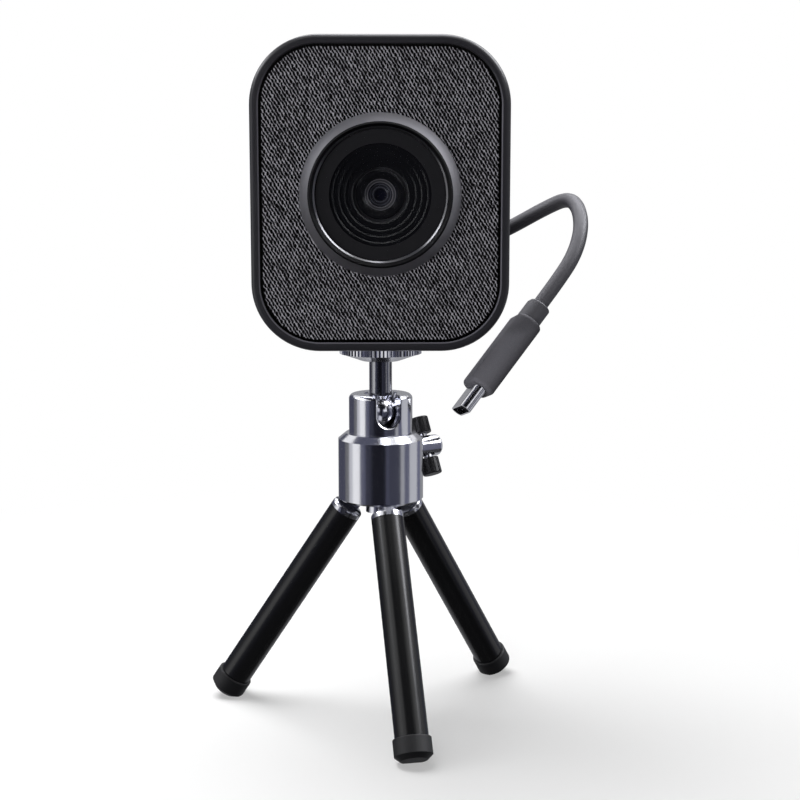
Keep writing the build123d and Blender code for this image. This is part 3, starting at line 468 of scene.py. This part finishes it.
def hood_black():
    """Glossy black inside, with a dull dark flange round the mouth and fine turned rings on the iris, painted
    paler as painted reflections.
    """
    shader = Shader("hood_black", HOOD_COLOUR, HOOD_ROUGHNESS[0])
    radius = from_lens_axis(shader)
    flange = shader.math("GREATER_THAN", radius, HOOD_MOUTH)
    # Painted reflection: the iris's turned rings are painted paler, standing in for the lens's ring
    # reflections
    turned = shader.math("SINE", shader.math("MULTIPLY", radius, 2 * math.pi / IRIS_RING))
    iris = shader.math("LESS_THAN", radius, IRIS_REACH)
    painted_ring_sheen = shader.math("MULTIPLY", iris, shader.spread(turned, *IRIS_SHEEN_TONES))
    tone = shader.math("ADD", shader.math("MULTIPLY", flange, FLANGE_TONE), painted_ring_sheen)
    shader.feed("Base Color", shader.ramp(tone, (0.0, HOOD_COLOUR), (1.0, HOOD_RING_COLOUR)))
    shader.feed("Roughness", shader.spread(flange, *HOOD_ROUGHNESS))
    shader.bump(shader.noise(HOOD_GRAIN), HOOD_RELIEF)
    return shader


def board_green():
    """Solder mask over a brick-like pattern of tracks."""
    shader = Shader("board_green", BOARD_COLOUR, roughness=0.35)
    tracks = shader.node("ShaderNodeTexBrick", offset=TRACK_OFFSET)
    tracks.inputs["Scale"].default_value = 1.0 / TRACK_SIZE
    for socket, colour in TRACK_COLOURS:
        tracks.inputs[socket].default_value = (*colour, 1)
    shader.link(shader.mapped("Rotation", (math.radians(90), 0, 0)), tracks.inputs["Vector"])
    shader.feed("Base Color", tracks.outputs["Color"])
    shader.bump(tracks.outputs["Fac"], TRACK_RELIEF)
    return shader


def chrome():
    """Turned bright metal with fine streaks, and painted shade on the stem above the ball."""
    shader = Shader("chrome", CHROME_COLOUR, roughness=0.16, metallic=1.0)
    x, y, z = shader.axes()
    # Painted shade: the stem under the webcam is painted darker
    painted_stem_shade = shader.math("MULTIPLY", shader.math("GREATER_THAN", z, STEM_FOOT),
                       shader.math("LESS_THAN", shader.hypot(x, y), STEM_REACH))
    shader.feed("Base Color", shader.ramp(painted_stem_shade, (0.0, CHROME_COLOUR), (1.0, STEM_SHADE_COLOUR)))
    streaks = shader.noise(STREAK_SIZE, detail=3.0, stretch=STREAK_STRETCH)
    shader.feed("Roughness", shader.spread(streaks, *STREAK_ROUGHNESS))
    shader.bump(streaks, STREAK_RELIEF)
    return shader


def clear_glass(name, tint, ior):
    """Glass with a trace of dust."""
    shader = Shader(name, tint, roughness=0.02)
    shader.set("Transmission Weight", 1.0)
    shader.set("IOR", ior)
    dust = shader.noise(DUST_SIZE, detail=5.0)
    shader.feed("Roughness", shader.spread(dust, *DUST_ROUGHNESS))
    return shader


MATERIALS = {}
for make_shader in (housing_plastic, fabric, bezel_coat, hood_black, board_green, chrome):
    MATERIALS[make_shader.__name__] = make_shader().material
for slot, colour, roughness, grain, relief, more in PLAIN_SURFACES:
    MATERIALS[slot] = speckled(slot, colour, roughness, grain * MM, relief * MM, **more).material
for slot, tint, ior in GLASSES:
    MATERIALS[slot] = clear_glass(slot, tint, ior).material

for part in RECORD["subparts"]:
    surfaces = NODES[part["node"]].data.materials
    surfaces.clear()
    surfaces.append(MATERIALS[part["material_slot"]])
for node in CLEAR_NODES:
    NODES[node].visible_shadow = False
for node in RECORD["behaviour"]["bodies"]["webcam"] + ["lock_wheel"]:
    NODES[node].visible_glossy = node in MIRRORED_NODES


# Objects

def add_object(name, data):
    made = bpy.data.objects.new(name, data)
    bpy.context.scene.collection.objects.link(made)
    return made


def add_mesh(name, corners, faces, material):
    mesh = bpy.data.meshes.new(name)
    mesh.from_pydata(corners, [], faces)
    mesh.materials.append(material)
    return add_object(name, mesh)


# Fabric

def fabric_edge(count):
    """Points round the fabric's outline, seen from the front and centred on the lens."""
    half = [size / 2 - FABRIC_CORNER for size in FABRIC_SIZE]
    quarter = math.pi / 2 * FABRIC_CORNER
    runs = (2 * half[1], quarter, 2 * half[0], quarter) * 2
    points = []
    for step in range(count):
        left = sum(runs) * step / count
        run = 0
        while left > runs[run]:
            left -= runs[run]
            run += 1
        heading = run // 2
        out, aside = half if heading % 2 == 0 else half[::-1]
        if run % 2 == 0:
            place = Vector((out + FABRIC_CORNER, left - aside))
        else:
            angle = left / FABRIC_CORNER
            place = Vector((out, aside)) + FABRIC_CORNER * Vector((math.cos(angle), math.sin(angle)))
        turned = math.radians(90 * heading)
        points.append(Vector((place.x * math.cos(turned) - place.y * math.sin(turned),
                              place.x * math.sin(turned) + place.y * math.cos(turned))))
    return points


def to_fabric_edge(point):
    """How far a point lies inside the fabric's outline."""
    x = abs(point.x) - FABRIC_SIZE[0] / 2 + FABRIC_CORNER
    z = abs(point.y) - FABRIC_SIZE[1] / 2 + FABRIC_CORNER
    beyond = math.hypot(max(x, 0.0), max(z, 0.0))
    return FABRIC_CORNER - beyond - min(max(x, z), 0.0)


def fabric_ahead(place):
    """How far ahead the cloth's face lies at a point of its outline's plane."""
    inside = max(to_fabric_edge(place), 0.0)
    crown = FABRIC_CROWN * (1 - math.exp(-inside / CROWN_FROM_RIM))
    crown *= min(1.0, (place.length - FABRIC_HOLE) / CROWN_FROM_LENS)
    rolled = 1 - min(inside / FABRIC_ROLL, 1.0)
    return FABRIC_AHEAD + crown - FABRIC_ROLL * (1 - math.sqrt(1 - rolled ** 2))


def make_fabric():
    """A cloth stretched over the panel: a low crown round the lens, and edges that roll back into the gap."""
    shares = [WIDE_RINGS_END * ring / WIDE_RINGS for ring in range(WIDE_RINGS + 1)]
    for ring in range(FINE_RINGS + 1):
        shares.append(FINE_RINGS_START + (1 - FINE_RINGS_START) * ring / FINE_RINGS)
    outline = fabric_edge(FABRIC_STEPS)
    corners = []
    for share in shares:
        for edge in outline:
            inner = edge.normalized() * FABRIC_HOLE
            place = inner + (edge - inner) * share
            corners.append((place.x, -fabric_ahead(place), LENS_Z + place.y))
    faces = []
    for ring in range(len(shares) - 1):
        start, outer = ring * FABRIC_STEPS, (ring + 1) * FABRIC_STEPS
        for step in range(FABRIC_STEPS):
            after = (step + 1) % FABRIC_STEPS
            faces.append((start + step, start + after, outer + after, outer + step))
    cloth = add_mesh("fabric_cloth", corners, faces, MATERIALS["fabric"])
    cloth.data.shade_smooth()
    thickness = cloth.modifiers.new("thickness", "SOLIDIFY")
    thickness.thickness = FABRIC_THICKNESS
    thickness.offset = -1.0
    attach(cloth, "webcam")
    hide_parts("front_fabric")


# Cable

def make_cable():
    """One smooth line through the route, from the gland to the plug's collar."""
    curve = bpy.data.curves.new("cable_jacket_line", "CURVE")
    curve.dimensions = "3D"
    curve.bevel_depth = CABLE_DIAMETER / 2
    curve.bevel_resolution = CABLE_ROUNDING
    curve.use_fill_caps = True
    spline = curve.splines.new("NURBS")
    spline.points.add(len(CABLE_ROUTE_MM) - 1)
    for point, place in zip(spline.points, CABLE_ROUTE_MM):
        point.co = (*(Vector(place) * MM), 1.0)
    spline.order_u = CABLE_ORDER
    spline.use_endpoint_u = True
    spline.resolution_u = CABLE_STEPS
    curve.materials.append(MATERIALS["cable_jacket"])
    cable = add_object("cable_line", curve)
    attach(cable, "webcam")
    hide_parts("cable")


# Studio

def make_camera():
    data = bpy.data.cameras.new("camera")
    data.sensor_width = SENSOR_MM
    data.lens = FOCAL_PIXELS / IMAGE_PIXELS * SENSOR_MM
    data.clip_start = CAMERA_NEAR
    camera = add_object("camera", data)
    camera.location = CAMERA_PLACE
    camera.rotation_euler = (math.radians(90 - CAMERA_PITCH), 0, math.radians(-CAMERA_YAW))
    bpy.context.scene.camera = camera


def make_floor():
    """A pale floor that keeps the shadow near the object and runs out into the white background."""
    shader = Shader("floor", FLOOR_COLOUR, roughness=0.9, specular=0.0)
    x, y, _ = shader.axes()
    fade = shader.between(shader.hypot(x, y), *FLOOR_FADE, low=FLOOR_WHITE)
    seen = shader.node("ShaderNodeLightPath").outputs["Is Camera Ray"]
    white = shader.node("ShaderNodeEmission")
    mixed = shader.node("ShaderNodeMixShader")
    shader.link(shader.math("MULTIPLY", fade, seen), mixed.inputs["Fac"])
    shader.link(shader.surface.outputs["BSDF"], mixed.inputs[1])
    shader.link(white.outputs["Emission"], mixed.inputs[2])
    shader.link(mixed.outputs["Shader"], shader.tree.nodes["Material Output"].inputs["Surface"])
    corners = [(FLOOR_REACH * side, FLOOR_REACH * end, 0)
               for side, end in ((-1, -1), (1, -1), (1, 1), (-1, 1))]
    floor = add_mesh("floor", corners, [(0, 1, 2, 3)], shader.material)
    floor.visible_glossy = False
    floor.visible_diffuse = False
    floor.visible_transmission = False


def make_world():
    """White where the camera, metal or glass looks, and a soft even light elsewhere."""
    world = bpy.data.worlds.new("studio")
    bpy.context.scene.world = world
    world.use_nodes = True
    tree = world.node_tree
    path = tree.nodes.new("ShaderNodeLightPath")
    seen = path.outputs["Is Camera Ray"]
    for ray in ("Is Glossy Ray", "Is Transmission Ray"):
        either = tree.nodes.new("ShaderNodeMath")
        either.operation = "MAXIMUM"
        tree.links.new(seen, either.inputs[0])
        tree.links.new(path.outputs[ray], either.inputs[1])
        seen = either.outputs[0]
    strength = tree.nodes.new("ShaderNodeMapRange")
    strength.inputs["To Min"].default_value = SKY_LIGHT
    tree.links.new(seen, strength.inputs["Value"])
    background = tree.nodes["Background"]
    background.inputs["Color"].default_value = (1, 1, 1, 1)
    tree.links.new(strength.outputs["Result"], background.inputs["Strength"])


def make_lamp(name, place, size, power):
    """A soft lamp aimed at the object."""
    data = bpy.data.lights.new(name, "AREA")
    data.shape = "RECTANGLE"
    data.size, data.size_y = size
    data.energy = power
    lamp = add_object(name, data)
    lamp.location = place
    lamp.rotation_euler = (Vector(LAMP_AIM) - Vector(place)).to_track_quat("-Z", "Y").to_euler()
    lamp.visible_glossy = False
    lamp.visible_transmission = False


def make_card(name, turn, rise, brightness, tint):
    """An arc of card round the object, between two turns and two rises in degrees."""
    corners = []
    for step in range(CARD_STEPS + 1):
        angle = math.radians(turn[0] + (turn[1] - turn[0]) * step / CARD_STEPS)
        for height in rise:
            level = CARD_DISTANCE * math.cos(math.radians(height))
            corners.append((level * math.sin(angle), -level * math.cos(angle),
                            CARD_CENTRE_Z + CARD_DISTANCE * math.sin(math.radians(height))))
    faces = [(2 * step, 2 * step + 2, 2 * step + 3, 2 * step + 1) for step in range(CARD_STEPS)]
    material = bpy.data.materials.new(name)
    material.use_nodes = True
    tree = material.node_tree
    tree.nodes.remove(tree.nodes["Principled BSDF"])
    glow = tree.nodes.new("ShaderNodeEmission")
    glow.inputs["Color"].default_value = (*scaled(tint, brightness), 1)
    tree.links.new(glow.outputs["Emission"], tree.nodes["Material Output"].inputs["Surface"])
    card = add_mesh(name, corners, faces, material)
    card.visible_camera = False
    card.visible_diffuse = False
    card.visible_shadow = False


make_fabric()
make_cable()
make_camera()
make_floor()
make_world()
for lamp in LAMPS:
    make_lamp(*lamp)
for card in CARDS:
    make_card(*card)
bpy.context.scene.view_settings.view_transform = "Standard"
